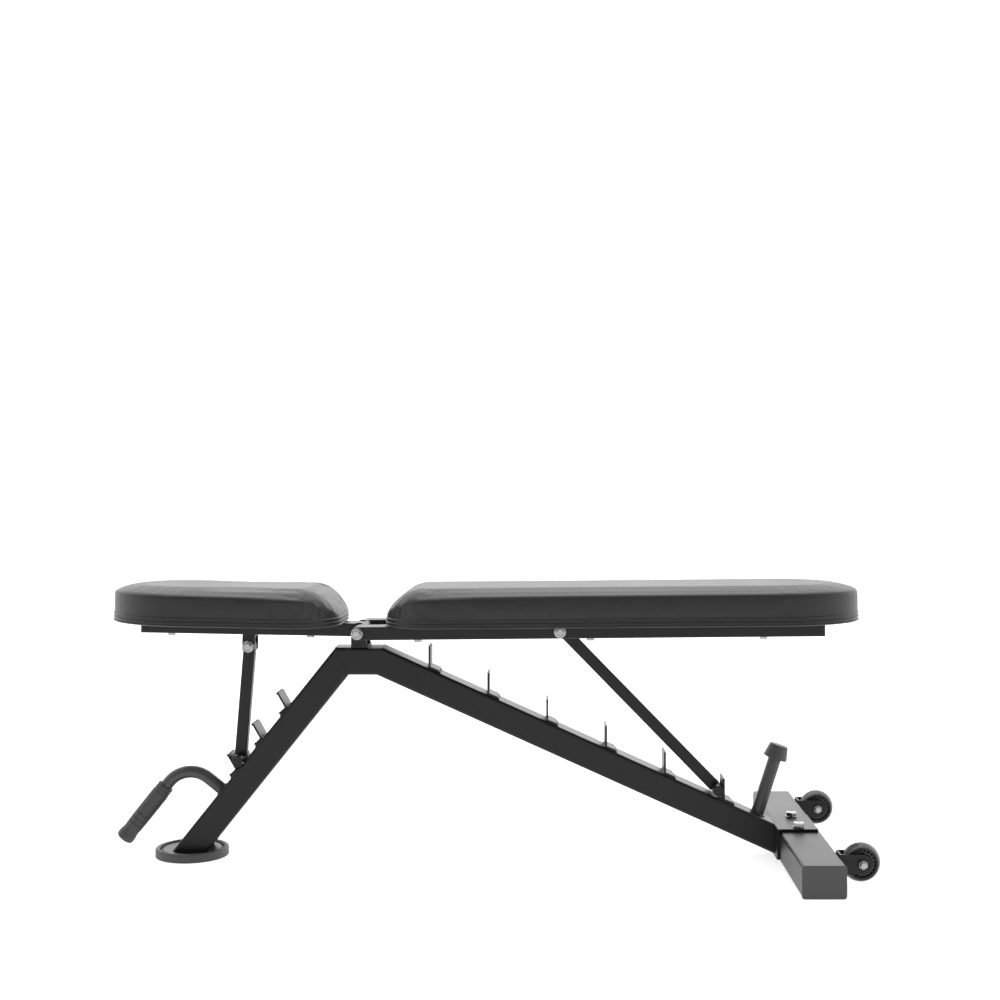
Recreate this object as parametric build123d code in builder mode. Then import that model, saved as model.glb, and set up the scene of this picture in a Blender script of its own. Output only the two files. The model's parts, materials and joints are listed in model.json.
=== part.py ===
"""Adjustable weight bench with a ladder-adjusted backrest and seat.

Millimetres, +Z up. The bench lies along X: the seat end is at -X, the wheels are at +X.
The origin is on the floor, under the middle of the bench's length and width.
The frame, the seat and the backrest are separate assemblies on one pivot bolt, and each
of the two padded assemblies has its own strut, which stands on a ladder of steel catches.
"""

import os
from math import atan2, cos, degrees, radians, sin, tan

from build123d import *

os.makedirs("parts", exist_ok=True)

# ---------------------------------------------------------------- driving dimensions

# Main frame: a box tube bent over an apex, with a front and a back leg.
tube_wide = 60.0
tube_deep = 46.5
tube_wall = 2.5
tube_corner = 5.0
front_angle = 51.34
back_angle = -24.2
apex_top = 359.8
apex_front = -257.5
apex_rear = -176.7

# Pivot of the seat and the backrest.
pivot_x = -212.8
pivot_z = 389.5
ear_thick = 4.0
ear_radius = 13.2
ear_x = -216.8
bolt_r = 5.0
running = 0.05
pad_bolt_r = 4.0
sleeve_r = 11.0

# Fasteners: M10 at the pivots and the stabiliser, M8 at the wheels.
washer_r = 10.0
washer_thick = 2.0
nut_across = 17.0
nut_high = 10.0
head_high = 6.5

# Ladders of catches.
catch_wide = 50.0
back_catch_count = 6
back_catch_first = -98.6
back_catch_pitch = 100.6
back_catch_high = 37.5
back_catch_thick = 3.5
back_catch_foot = 17.0
seat_catch_count = 3
seat_catch_first = 124.0
seat_catch_pitch = 67.75
seat_catch_high = 28.5
seat_catch_thick = 3.2
seat_catch_lean = 68.2
seat_catch_foot = 14.0
catch_foot_thick = 4.0

# Front foot.
foot_x = -507.3
foot_r = 62.0
foot_high = 15.0
foot_rim = 8.0
foot_floor = 9.5
foot_plate_thick = 3.0
foot_plate_r = 50.0

# Rear stabiliser.
crossbar_front = 496.7
crossbar_deep = 70.0
crossbar_high = 50.0
crossbar_lift = 2.0
crossbar_half = 274.0
crossbar_wall = 2.5
end_cap_thick = 4.0
mount_plate_thick = 4.5
mount_plate_half = 55.0
mount_plate_low = 5.0
mount_plate_rear = 561.5
stabiliser_bolt_y = 40.0
stabiliser_bolt_x = 531.2

# Transport wheels.
wheel_x = 603.2
wheel_z = 38.5
wheel_y = 200.0
wheel_r = 31.5
wheel_wide = 24.0
hub_r = 24.0
tyre_shoulder = 26.5
hub_wide = 22.0
bearing_r = 11.0
bearing_wide = 7.0
axle_r = 4.0
fork_gap = 27.0
fork_thick = 3.0
fork_half_high = 15.5

# Handle and its grip.
handle_start = (-455.9, 113.3)
handle_corner = (-517.4, 162.6)
handle_bend = 48.0
handle_r = 10.6
handle_wall = 2.0
handle_straight = 168.0
grip_from = 55.0
grip_to = 172.0
grip_r = 14.8

# Bumper post behind the ladder.
post_base = (465.9, 71.0)
post_angle = 72.1
post_r = 11.25
post_long = 118.0
bumper_from = 100.5
bumper_high = 24.0
bumper_low_r = 20.3
bumper_top_r = 16.0

# Seat assembly, in its own lines through the pivot.
seat_rest_angle = -1.05
beam_wide = 50.0
beam_high = 22.5
rail_corner = 2.2
beam_from = -374.0
rail_wall = 2.0
seat_pad_out = -426.5
seat_pad_in = -30.7
seat_pad_top = 72.0
seat_strut_head_along = -194.2
seat_strut_head_up = -32.5
seat_foot_along = 253.3
seat_pin_r = 9.0
strut_side = 20.0
strut_wall = 2.0

# Backrest assembly, in its own lines through the pivot.
back_rest_angle = 0.5
rail_inner = 43.0
rail_outer = 86.0
rail_high = 22.5
rail_to = 778.4
back_pad_in = 44.0
back_pad_out = 852.1
back_pad_top = 73.5
back_strut_head_along = 338.5
back_foot = (395.2, 116.6)
back_pin_r = 8.7
foot_pin_half = 35.0
strut_bush_r = 8.0

# Pads.
pad_half_wide = 131.0
pad_round_end = 140.0
pad_corner = 90.0
pad_edge = 9.0
board_thick = 12.0
board_inset = 4.0
tee_barrel_r = 5.2
tee_flange_r = 9.5
tee_flange = 1.5
pad_bevel = ((44.0, 0.0), (17.0, -18.0), (0.0, -42.0))


# ---------------------------------------------------------------- planes and helpers

def side_plane(x, z, angle=0.0):
    """Plane seen from -Y, whose own x axis is turned up from +X by the angle."""
    along = (cos(radians(angle)), 0, sin(radians(angle)))
    return Plane(origin=(x, 0, z), x_dir=along, z_dir=(0, -1, 0))


def run_plane(x, z, angle):
    """Plane square to a run in the XZ plane: its x axis is +Y, its y axis the run's upper side."""
    along = (cos(radians(angle)), 0, sin(radians(angle)))
    return Plane(origin=(x, 0, z), x_dir=(0, 1, 0), z_dir=along)


def across(x, y, z):
    """Plane facing +Y, for pins, bolts and wheels."""
    return Plane(origin=(x, y, z), x_dir=(1, 0, 0), z_dir=(0, 1, 0))


def step(start, angle, along, up=0.0):
    """The point a distance along a direction from a start, and up from it, as (x, z)."""
    c, s = cos(radians(angle)), sin(radians(angle))
    return start[0] + along * c - up * s, start[1] + along * s + up * c


def place(angle, along, up):
    """Where a point of a tilted assembly is, as (x, z)."""
    return step((pivot_x, pivot_z), angle, along, up)


def level_plane(angle, up, along=0.0, aside=0.0):
    """Plane in line with a tilted assembly, facing up from it, at one of its points."""
    x, z = place(angle, along, up)
    forward = (cos(radians(angle)), 0, sin(radians(angle)))
    normal = (-sin(radians(angle)), 0, cos(radians(angle)))
    return Plane(origin=(x, aside, z), x_dir=forward, z_dir=normal)


def back_leg_top(x):
    """Height of the back leg's upper face."""
    return apex_top + (x - apex_rear) * tan(radians(back_angle))


def rod(plane, radius, length, mode=Mode.ADD):
    """Round bar, or hole, from a plane."""
    with BuildSketch(plane) as disc:
        Circle(radius)
    extrude(disc.sketch, amount=length, mode=mode)


def ring(plane, outer, inner, length):
    """Round sleeve or washer from a plane."""
    with BuildSketch(plane) as disc:
        Circle(outer)
        Circle(inner, mode=Mode.SUBTRACT)
    extrude(disc.sketch, amount=length)


def hexagon(plane, across_flats, length, bore=0.0):
    """Hexagon head or nut from a plane, with its outer corners eased by a cone."""
    corner = across_flats / 2 / cos(radians(30))
    with BuildSketch(plane) as flats:
        RegularPolygon(corner, 6)
        if bore:
            Circle(bore, mode=Mode.SUBTRACT)
    extrude(flats.sketch, amount=length)


def locknut(plane, across_flats, height, bore):
    """Hexagon nut whose outer third is the round collar of its locking ring."""
    collar = height * 0.35
    hexagon(plane, across_flats, height - collar, bore)
    ring(plane.offset(height - collar), across_flats * 0.43, bore, collar)


def box_section(wide, deep, corner, wall):
    """Hollow rounded rectangle, with its upper side on the plane's x axis."""
    with Locations((0, -deep / 2)):
        RectangleRounded(wide, deep, corner)
        RectangleRounded(wide - 2 * wall, deep - 2 * wall, corner - wall + 0.3, mode=Mode.SUBTRACT)


def save(piece, name):
    """Label a finished piece and write it as its own node."""
    piece.part.label = name
    export_step(piece.part, f"parts/{name}.step")


front_mitre = run_plane(apex_front, apex_top, front_angle / 2)
rear_mitre = run_plane(apex_rear, apex_top, back_angle / 2)
foot_top = foot_floor + foot_plate_thick

# ---------------------------------------------------------------- main frame

leg_reach = 540.0
with BuildPart() as front_leg:
    with BuildSketch(run_plane(apex_front, apex_top, front_angle).offset(-leg_reach)):
        box_section(tube_wide, tube_deep, tube_corner, tube_wall)
    extrude(amount=leg_reach + tube_wide)
    split(bisect_by=front_mitre, keep=Keep.BOTTOM)
    split(bisect_by=Plane.XY.offset(foot_top), keep=Keep.TOP)
save(front_leg, "front_leg")

with BuildPart() as apex_tube:
    with BuildSketch(run_plane(apex_front, apex_top, 0).offset(-tube_deep)):
        box_section(tube_wide, tube_deep, tube_corner, tube_wall)
    extrude(amount=apex_rear - apex_front + 2 * tube_deep)
    split(bisect_by=front_mitre, keep=Keep.TOP)
    split(bisect_by=rear_mitre, keep=Keep.BOTTOM)
save(apex_tube, "apex_tube")

back_leg_long = 800.0
plate_front = crossbar_front - mount_plate_thick
with BuildPart() as back_leg:
    with BuildSketch(run_plane(apex_rear, apex_top, back_angle).offset(-tube_deep)):
        box_section(tube_wide, tube_deep, tube_corner, tube_wall)
    extrude(amount=back_leg_long)
    split(bisect_by=rear_mitre, keep=Keep.TOP)
    split(bisect_by=Plane.YZ.offset(plate_front), keep=Keep.BOTTOM)
save(back_leg, "back_leg")

# U-bracket of the main pivot: a base plate on the apex and two rounded ears.
ear_out = tube_wide / 2
ear_in = ear_out - ear_thick
with BuildPart() as pivot_bracket:
    with BuildSketch(side_plane(ear_x, pivot_z)):
        Circle(ear_radius)
        with Locations((0, (apex_top - pivot_z) / 2)):
            Rectangle(2 * ear_radius, pivot_z - apex_top)
        with Locations((1, apex_top - pivot_z + ear_thick / 2)):
            Rectangle(2 * ear_radius + 2, ear_thick)
    extrude(amount=ear_out, both=True)
    with BuildSketch(side_plane(ear_x, apex_top + ear_thick)):
        with Locations((0, 2 * ear_radius)):
            Rectangle(6 * ear_radius, 4 * ear_radius)
    extrude(amount=ear_in, both=True, mode=Mode.SUBTRACT)
    rod(across(pivot_x, -tube_wide, pivot_z), bolt_r + running, 2 * tube_wide, Mode.SUBTRACT)
save(pivot_bracket, "pivot_bracket")

# Catches of the backrest ladder: upright plates, each on a foot welded down the leg.
with BuildPart() as back_catches:
    for index in range(back_catch_count):
        x = back_catch_first + back_catch_pitch * index
        low = (x, back_leg_top(x))
        toe = step(low, back_angle, back_catch_foot + back_catch_thick)
        heel_z = back_leg_top(x + back_catch_thick) + catch_foot_thick
        with BuildSketch(side_plane(0, 0)):
            with BuildLine():
                Polyline(
                    low,
                    (x, low[1] + back_catch_high),
                    (x + back_catch_thick, low[1] + back_catch_high - 1),
                    (x + back_catch_thick, heel_z),
                    step(toe, back_angle, -2.5, catch_foot_thick),
                    toe,
                    close=True,
                )
            make_face()
        extrude(amount=catch_wide / 2, both=True)
save(back_catches, "back_catches")

# Catches of the seat ladder lean towards the apex.
with BuildPart() as seat_catches:
    for index in range(seat_catch_count):
        lean = seat_catch_high / tan(radians(seat_catch_lean))
        skew = seat_catch_thick / sin(radians(seat_catch_lean))
        tip = -(seat_catch_first + seat_catch_pitch * index)
        foot_slip = catch_foot_thick / tan(radians(seat_catch_lean))
        low = tip - lean
        with BuildSketch(side_plane(apex_front, apex_top, front_angle)):
            with BuildLine():
                Polyline(
                    (low + skew, 0),
                    (tip + skew, seat_catch_high - 1),
                    (tip, seat_catch_high),
                    (low + foot_slip, catch_foot_thick),
                    (low - seat_catch_foot + 2.5, catch_foot_thick),
                    (low - seat_catch_foot, 0),
                    close=True,
                )
            make_face()
        extrude(amount=catch_wide / 2, both=True)
save(seat_catches, "seat_catches")

# Front foot: a steel disc welded to the leg, standing in a rubber cup with a rounded rim.
with BuildPart() as front_foot_plate:
    rod(Plane(origin=(foot_x, 0, foot_floor)), foot_plate_r, foot_plate_thick)
    chamfer(front_foot_plate.edges().group_by(Axis.Z)[-1], length=0.8)
save(front_foot_plate, "front_foot_plate")

with BuildPart() as front_foot_cup:
    rod(Plane(origin=(foot_x, 0, 0)), foot_r, foot_high)
    rod(Plane(origin=(foot_x, 0, foot_floor)), foot_r - foot_rim, foot_high, Mode.SUBTRACT)
    fillet(front_foot_cup.edges().group_by(Axis.Z)[-1], radius=3.4)
    chamfer(front_foot_cup.edges().group_by(Axis.Z)[0], length=1.0)
save(front_foot_cup, "front_foot_cup")

# Handle: a bent tube welded square to the front leg, and its rubber grip.
grip_angle = front_angle + 180
grip_start = step(handle_corner, grip_angle, grip_from)
with BuildPart() as handle_tube:
    with BuildLine(side_plane(0, 0)) as handle_line:
        FilletPolyline(
            handle_start,
            handle_corner,
            step(handle_corner, grip_angle, handle_straight),
            radius=handle_bend,
        )
    with BuildSketch(run_plane(*handle_start, front_angle + 90)):
        Circle(handle_r)
        Circle(handle_r - handle_wall, mode=Mode.SUBTRACT)
    sweep(path=handle_line.line)
save(handle_tube, "handle_tube")

grip_long = grip_to - grip_from
tube_end = handle_straight - grip_from + 0.1
with BuildPart() as handle_grip:
    with BuildSketch(side_plane(*grip_start, grip_angle)) as grip_half:
        with BuildLine():
            Polyline(
                (0, handle_r + running),
                (0, grip_r - 1.8),
                (3, grip_r),
                (10, grip_r + 0.7),
                (20, grip_r),
                (grip_long - 16, grip_r - 0.4),
                (grip_long - 8, grip_r + 0.9),
                (grip_long - 3, grip_r + 0.9),
                (grip_long, grip_r - 4),
                (grip_long, 0),
                (tube_end, 0),
                (tube_end, handle_r + running),
                close=True,
            )
        make_face()
    axis_dir = (cos(radians(grip_angle)), 0, sin(radians(grip_angle)))
    revolve(axis=Axis((grip_start[0], 0, grip_start[1]), axis_dir))
save(handle_grip, "handle_grip")

# Bumper post and its rubber cap.
leg_face = run_plane(apex_rear, apex_top, back_angle + 90)
with BuildPart() as bumper_post:
    with BuildSketch(run_plane(*post_base, post_angle).offset(-20)):
        Circle(post_r)
        Circle(post_r - 2, mode=Mode.SUBTRACT)
    extrude(amount=post_long + 20)
    split(bisect_by=leg_face, keep=Keep.TOP)
save(bumper_post, "bumper_post")

with BuildPart() as bumper_cap:
    with BuildSketch(side_plane(*step(post_base, post_angle, bumper_from), post_angle)):
        with BuildLine():
            Polyline(
                (0, post_r),
                (0, bumper_low_r - 1.0),
                (1.0, bumper_low_r),
                (3.0, bumper_low_r),
                (bumper_high - 1.2, bumper_top_r),
                (bumper_high, bumper_top_r - 1.5),
                (bumper_high, 0),
                (post_long - bumper_from, 0),
                (post_long - bumper_from, post_r),
                close=True,
            )
        make_face()
    cap_dir = (cos(radians(post_angle)), 0, sin(radians(post_angle)))
    revolve(axis=Axis((post_base[0], 0, post_base[1]), cap_dir))
save(bumper_cap, "bumper_cap")

# ---------------------------------------------------------------- rear stabiliser

crossbar_top = crossbar_lift + crossbar_high
crossbar_mid = crossbar_front + crossbar_deep / 2
with BuildPart() as rear_mount_plate:
    with BuildSketch(side_plane(0, 0)):
        with BuildLine():
            Polyline(
                (plate_front, mount_plate_low),
                (plate_front, crossbar_top + mount_plate_thick),
                (mount_plate_rear, crossbar_top + mount_plate_thick),
                (mount_plate_rear, crossbar_top),
                (crossbar_front, crossbar_top),
                (crossbar_front, mount_plate_low),
                close=True,
            )
        make_face()
    extrude(amount=mount_plate_half, both=True)
    fillet(
        rear_mount_plate.edges().filter_by(Axis.Y).filter_by(
            lambda edge: edge.center().X < crossbar_front - 1 and edge.center().Z > crossbar_top
        ),
        radius=mount_plate_thick,
    )
    for side in (-1, 1):
        rod(
            Plane(origin=(stabiliser_bolt_x, side * stabiliser_bolt_y, crossbar_top - 1)),
            bolt_r + 0.5,
            mount_plate_thick + 2,
            Mode.SUBTRACT,
        )
save(rear_mount_plate, "rear_mount_plate")

with BuildPart() as rear_crossbar:
    with BuildSketch(Plane(origin=(crossbar_mid, -crossbar_half, crossbar_lift + crossbar_high / 2),
                           x_dir=(1, 0, 0), z_dir=(0, 1, 0))):
        RectangleRounded(crossbar_deep, crossbar_high, tube_corner)
        RectangleRounded(
            crossbar_deep - 2 * crossbar_wall,
            crossbar_high - 2 * crossbar_wall,
            tube_corner - crossbar_wall,
            mode=Mode.SUBTRACT,
        )
    extrude(amount=2 * crossbar_half)
    for side in (-1, 1):
        rod(
            Plane(origin=(stabiliser_bolt_x, side * stabiliser_bolt_y, crossbar_top - 4)),
            bolt_r + 0.5,
            8,
            Mode.SUBTRACT,
        )
save(rear_crossbar, "rear_crossbar")


def end_cap(side, name):
    """Moulded cap with a plug in the crossbar's end and a lower edge that is the foot."""
    with BuildPart() as cap:
        face = Plane(origin=(crossbar_mid, side * crossbar_half, crossbar_top / 2),
                     x_dir=(1, 0, 0), z_dir=(0, side, 0))
        with BuildSketch(face):
            RectangleRounded(crossbar_deep, crossbar_top, tube_corner)
        extrude(amount=end_cap_thick)
        fillet(cap.faces().sort_by(Axis.Y)[-1 if side > 0 else 0].edges(), radius=1.5)
        plug = Plane(origin=(crossbar_mid, side * crossbar_half, crossbar_lift + crossbar_high / 2),
                     x_dir=(1, 0, 0), z_dir=(0, -side, 0))
        inside = 2 * crossbar_wall + 0.2
        with BuildSketch(plug):
            RectangleRounded(crossbar_deep - inside, crossbar_high - inside, 2.2)
            RectangleRounded(crossbar_deep - inside - 6, crossbar_high - inside - 6, 1, mode=Mode.SUBTRACT)
        extrude(amount=18)
        # The whole lower edge stands on the floor.
        split(bisect_by=Plane.XY, keep=Keep.TOP)
    save(cap, name)


end_cap(-1, "crossbar_end_cap_right")
end_cap(1, "crossbar_end_cap_left")

plate_top = crossbar_top + mount_plate_thick
with BuildPart() as stabiliser_bolts:
    for side in (-1, 1):
        spot = (stabiliser_bolt_x, side * stabiliser_bolt_y)
        rod(Plane(origin=(*spot, crossbar_top - 12)), bolt_r, 12 + mount_plate_thick)
        rod(Plane(origin=(*spot, plate_top)), washer_r, washer_thick)
        hexagon(Plane(origin=(*spot, plate_top + washer_thick)), nut_across, head_high)
save(stabiliser_bolts, "stabiliser_bolts")

with BuildPart() as stabiliser_weld_nuts:
    for side in (-1, 1):
        spot = (stabiliser_bolt_x, side * stabiliser_bolt_y)
        hexagon(Plane(origin=(*spot, crossbar_top - crossbar_wall - 9)), nut_across, 9, bolt_r)
save(stabiliser_weld_nuts, "stabiliser_weld_nuts")

# ---------------------------------------------------------------- transport wheels

crossbar_back = crossbar_front + crossbar_deep
fork_reach = wheel_x - crossbar_back
flange_in = fork_gap / 2
flange_out = flange_in + fork_thick


def wheel_bracket(middle, name):
    """Bent channel: a web on the crossbar's rear face and two flanges with rounded ends."""
    with BuildPart() as bracket:
        with BuildSketch(Plane(origin=(wheel_x, middle, wheel_z), x_dir=(1, 0, 0), z_dir=(0, -1, 0))):
            Circle(fork_half_high)
            with Locations((-fork_reach / 2, 0)):
                Rectangle(fork_reach, 2 * fork_half_high)
        extrude(amount=flange_out, both=True)
        with BuildSketch(Plane.XY.offset(wheel_z - 2 * fork_half_high)):
            with Locations((crossbar_back + fork_thick + fork_reach, middle)):
                Rectangle(2 * fork_reach, fork_gap)
        extrude(amount=4 * fork_half_high, mode=Mode.SUBTRACT)
        rod(across(wheel_x, middle - 2 * fork_gap, wheel_z), axle_r + 0.1, 4 * fork_gap, Mode.SUBTRACT)
    save(bracket, name)


def wheel(middle, side_name):
    """Tyre, spoked hub and two bearings of one transport wheel."""
    with BuildPart() as tyre:
        with BuildSketch(Plane(origin=(wheel_x, middle, wheel_z), x_dir=(0, 1, 0), z_dir=(1, 0, 0))):
            with BuildLine():
                Line((-wheel_wide / 2, tyre_shoulder), (-hub_wide / 2, hub_r))
                Line((-hub_wide / 2, hub_r), (hub_wide / 2, hub_r))
                Line((hub_wide / 2, hub_r), (wheel_wide / 2, tyre_shoulder))
                ThreePointArc((wheel_wide / 2, tyre_shoulder), (0, wheel_r), (-wheel_wide / 2, tyre_shoulder))
            make_face()
        revolve(axis=Axis((wheel_x, middle, wheel_z), (0, 1, 0)))
    save(tyre, f"{side_name}_wheel_tyre")

    with BuildPart() as hub:
        ring(across(wheel_x, middle - hub_wide / 2, wheel_z), hub_r, bearing_r, hub_wide)
        with BuildSketch(across(wheel_x, middle - hub_wide / 2, wheel_z)) as pockets:
            with PolarLocations((hub_r + bearing_r) / 2, 8):
                Circle(2.1)
        extrude(pockets.sketch, amount=hub_wide, mode=Mode.SUBTRACT)
        ring(across(wheel_x, middle - hub_wide / 2 + bearing_wide, wheel_z),
             bearing_r, axle_r + 3, hub_wide - 2 * bearing_wide)
    save(hub, f"{side_name}_wheel_hub")

    with BuildPart() as bearings:
        for side in (-1, 1):
            low = middle + side * (hub_wide - bearing_wide) / 2 - bearing_wide / 2
            ring(across(wheel_x, low, wheel_z), bearing_r, axle_r + running, bearing_wide)
    save(bearings, f"{side_name}_wheel_bearings")


wheel_bracket(-wheel_y, "right_wheel_bracket")
wheel_bracket(wheel_y, "left_wheel_bracket")
wheel(-wheel_y, "right")
wheel(wheel_y, "left")

with BuildPart() as wheel_axles:
    for middle in (-wheel_y, wheel_y):
        rod(across(wheel_x, middle - flange_out - 8, wheel_z), axle_r, 2 * flange_out + 8)
        rod(across(wheel_x, middle + flange_out, wheel_z), 7.8, 4.5)
save(wheel_axles, "wheel_axles")

with BuildPart() as wheel_nuts:
    for middle in (-wheel_y, wheel_y):
        face = Plane(origin=(wheel_x, middle - flange_out, wheel_z), x_dir=(1, 0, 0), z_dir=(0, -1, 0))
        locknut(face, 13.0, 7.5, axle_r)
save(wheel_nuts, "wheel_nuts")

# Spacers keep the bearings' inner rings off the flanges.
spacer_long = flange_in - hub_wide / 2 - 0.3
with BuildPart() as wheel_spacers:
    for middle in (-wheel_y, wheel_y):
        ring(across(wheel_x, middle - flange_in, wheel_z), 6.0, axle_r, spacer_long)
        ring(across(wheel_x, middle + flange_in - spacer_long, wheel_z), 6.0, axle_r, spacer_long)
save(wheel_spacers, "wheel_spacers")

# ---------------------------------------------------------------- pivot bolt

sleeve_out = rail_outer + 0.5
washer_face = sleeve_out + 0.3
bolt_half = washer_face + washer_thick
with BuildPart() as pivot_bolt:
    rod(across(pivot_x, -bolt_half - nut_high, pivot_z), bolt_r, 2 * bolt_half + nut_high)
    hexagon(across(pivot_x, bolt_half, pivot_z), nut_across, head_high)
save(pivot_bolt, "pivot_bolt")

with BuildPart() as pivot_nut:
    locknut(Plane(origin=(pivot_x, -bolt_half, pivot_z), x_dir=(1, 0, 0), z_dir=(0, -1, 0)),
            nut_across, nut_high, bolt_r)
save(pivot_nut, "pivot_nut")

with BuildPart() as pivot_washers:
    for low in (-bolt_half, washer_face):
        ring(across(pivot_x, low, pivot_z), washer_r, bolt_r, washer_thick)
save(pivot_washers, "pivot_washers")

# ---------------------------------------------------------------- seat

seat_bolt_spots = (-330.0, -90.0)
beam_sleeve_half = ear_in - 0.3
with BuildPart() as seat_beam:
    with BuildSketch(run_plane(*place(seat_rest_angle, beam_from, beam_high / 2), seat_rest_angle)):
        box_section(beam_wide, beam_high, rail_corner, rail_wall)
    extrude(amount=-beam_from)
    rod(across(pivot_x, -tube_wide, pivot_z), sleeve_r, 2 * tube_wide, Mode.SUBTRACT)
    for along in seat_bolt_spots:
        rod(level_plane(seat_rest_angle, -beam_high, along), pad_bolt_r + 0.25, 2 * beam_high, Mode.SUBTRACT)
save(seat_beam, "seat_beam")

with BuildPart() as seat_sleeve:
    ring(across(pivot_x, -beam_sleeve_half, pivot_z), sleeve_r, bolt_r + running, 2 * beam_sleeve_half)
save(seat_sleeve, "seat_sleeve")

with BuildPart() as seat_beam_cap:
    cap_face = run_plane(*place(seat_rest_angle, beam_from, 0), seat_rest_angle)
    with BuildSketch(cap_face.offset(-2.5)):
        RectangleRounded(beam_wide, beam_high, rail_corner)
    extrude(amount=2.5)
    with BuildSketch(cap_face):
        RectangleRounded(beam_wide - 2 * rail_wall - 0.2, beam_high - 2 * rail_wall - 0.2, 1.2)
    extrude(amount=14)
save(seat_beam_cap, "seat_beam_cap")

# Bracket under the beam for the strut: a bent channel with two ears.
strut_ear_in = 12.0
strut_ear_out = 16.0
seat_head = place(seat_rest_angle, seat_strut_head_along, seat_strut_head_up)
head_x, head_z = seat_head
with BuildPart() as seat_strut_bracket:
    ear_half = 10.8
    drop = -beam_high / 2 - seat_strut_head_up
    with BuildSketch(side_plane(head_x, head_z, seat_rest_angle)):
        with Locations((0, (drop - 8) / 2)):
            RectangleRounded(2 * ear_half, drop + 8, 3)
    extrude(amount=strut_ear_out, both=True)
    with BuildSketch(side_plane(head_x, head_z, seat_rest_angle)):
        with Locations((0, drop - 4 - 20)):
            Rectangle(4 * ear_half, 40)
    extrude(amount=strut_ear_in, both=True, mode=Mode.SUBTRACT)
    with BuildSketch(side_plane(head_x, head_z, seat_rest_angle)):
        with Locations((0, drop + 10)):
            Rectangle(4 * ear_half, 20)
    extrude(amount=2 * strut_ear_out, both=True, mode=Mode.SUBTRACT)
    rod(across(head_x, -tube_wide, head_z), bolt_r + running, 2 * tube_wide, Mode.SUBTRACT)
save(seat_strut_bracket, "seat_strut_bracket")

seat_bolt_half = strut_ear_out + washer_thick + 0.1
with BuildPart() as seat_strut_bolt:
    rod(across(head_x, -seat_bolt_half - nut_high, head_z), bolt_r, 2 * seat_bolt_half + nut_high)
    hexagon(across(head_x, seat_bolt_half, head_z), nut_across, head_high)
save(seat_strut_bolt, "seat_strut_bolt")

with BuildPart() as seat_strut_nut:
    locknut(Plane(origin=(head_x, -seat_bolt_half - 0.05, head_z), x_dir=(1, 0, 0), z_dir=(0, -1, 0)),
            nut_across, nut_high, bolt_r)
    for low in (-seat_bolt_half, strut_ear_out + 0.1):
        ring(across(head_x, low, head_z), washer_r, bolt_r, washer_thick)
save(seat_strut_nut, "seat_strut_nut_and_washers")


def pad_plan(plane, round_at, square_at, shrink=0.0):
    """Plan of a pad: one end a half ellipse, the other square with rounded corners."""
    toward = 1 if square_at > round_at else -1
    middle = round_at + toward * pad_round_end
    half = pad_half_wide - shrink
    inner = square_at - toward * shrink
    with BuildSketch(plane) as plan:
        with BuildLine():
            EllipticalCenterArc((middle, 0), pad_round_end - shrink, half, toward * 90, arc_size=180)
            FilletPolyline(
                (middle, half),
                (inner, half),
                (inner, -half),
                (middle, -half),
                radius=pad_corner - shrink,
            )
        make_face()
    return plan.sketch



def pad(angle, low, top, round_at, square_at, name):
    """Foam pad in its cover, wrapped round the board and bevelled at the end by the pivot."""
    toward = 1 if square_at > round_at else -1
    outside = square_at + toward
    with BuildPart() as cushion:
        extrude(pad_plan(level_plane(angle, low), round_at, square_at), amount=top - low)
        with BuildSketch(side_plane(pivot_x, pivot_z, angle)) as bevel:
            with BuildLine():
                Polyline(
                    *[(square_at - toward * back, top + down) for back, down in pad_bevel],
                    (outside, top + pad_bevel[-1][1]),
                    (outside, top + 1),
                    (square_at - toward * pad_bevel[0][0], top + 1),
                    close=True,
                )
            make_face()
        extrude(bevel.sketch, amount=pad_half_wide + 10, both=True, mode=Mode.SUBTRACT)
        fillet(cushion.faces().sort_by(Axis.Z)[-1].edges(), radius=pad_edge)
        extrude(pad_plan(level_plane(angle, low), round_at, square_at, board_inset),
                amount=board_thick, mode=Mode.SUBTRACT)
    save(cushion, f"{name}_pad")


def board(angle, low, round_at, square_at, bolts, name):
    """Plywood board of a pad, with a recessed hole for each of its tee nuts."""
    with BuildPart() as plywood:
        extrude(pad_plan(level_plane(angle, low), round_at, square_at, board_inset), amount=board_thick)
        for along, aside in bolts:
            rod(level_plane(angle, low - 1, along, aside), tee_barrel_r, board_thick + 2, Mode.SUBTRACT)
            rod(level_plane(angle, low + board_thick - tee_flange, along, aside), tee_flange_r,
                tee_flange, Mode.SUBTRACT)
    save(plywood, f"{name}_board")


def pad_fasteners(angle, low, tube_deep_here, bolts, name):
    """Bolts from under the tubes into tee nuts sunk in the board."""
    under = low - tube_deep_here
    with BuildPart() as screws:
        for along, aside in bolts:
            rod(level_plane(angle, under - 1.2, along, aside), pad_bolt_r + 4.2, 1.2)
            rod(level_plane(angle, under - 5.2, along, aside), pad_bolt_r + 2.6, 4.0)
            rod(level_plane(angle, under, along, aside), pad_bolt_r, tube_deep_here + board_thick - 1)
    save(screws, f"{name}_pad_bolts")
    with BuildPart() as tee_nuts:
        for along, aside in bolts:
            ring(level_plane(angle, low + 1, along, aside), tee_barrel_r, pad_bolt_r,
                 board_thick - tee_flange - 1)
            ring(level_plane(angle, low + board_thick - tee_flange, along, aside), tee_flange_r,
                 pad_bolt_r, tee_flange)
    save(tee_nuts, f"{name}_tee_nuts")


seat_low = beam_high / 2
seat_bolts = [(along, 0.0) for along in seat_bolt_spots]
pad(seat_rest_angle, seat_low, seat_pad_top, seat_pad_out, seat_pad_in, "seat")
board(seat_rest_angle, seat_low, seat_pad_out, seat_pad_in, seat_bolts, "seat")
pad_fasteners(seat_rest_angle, seat_low, beam_high, seat_bolts, "seat")

# ---------------------------------------------------------------- backrest

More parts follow.
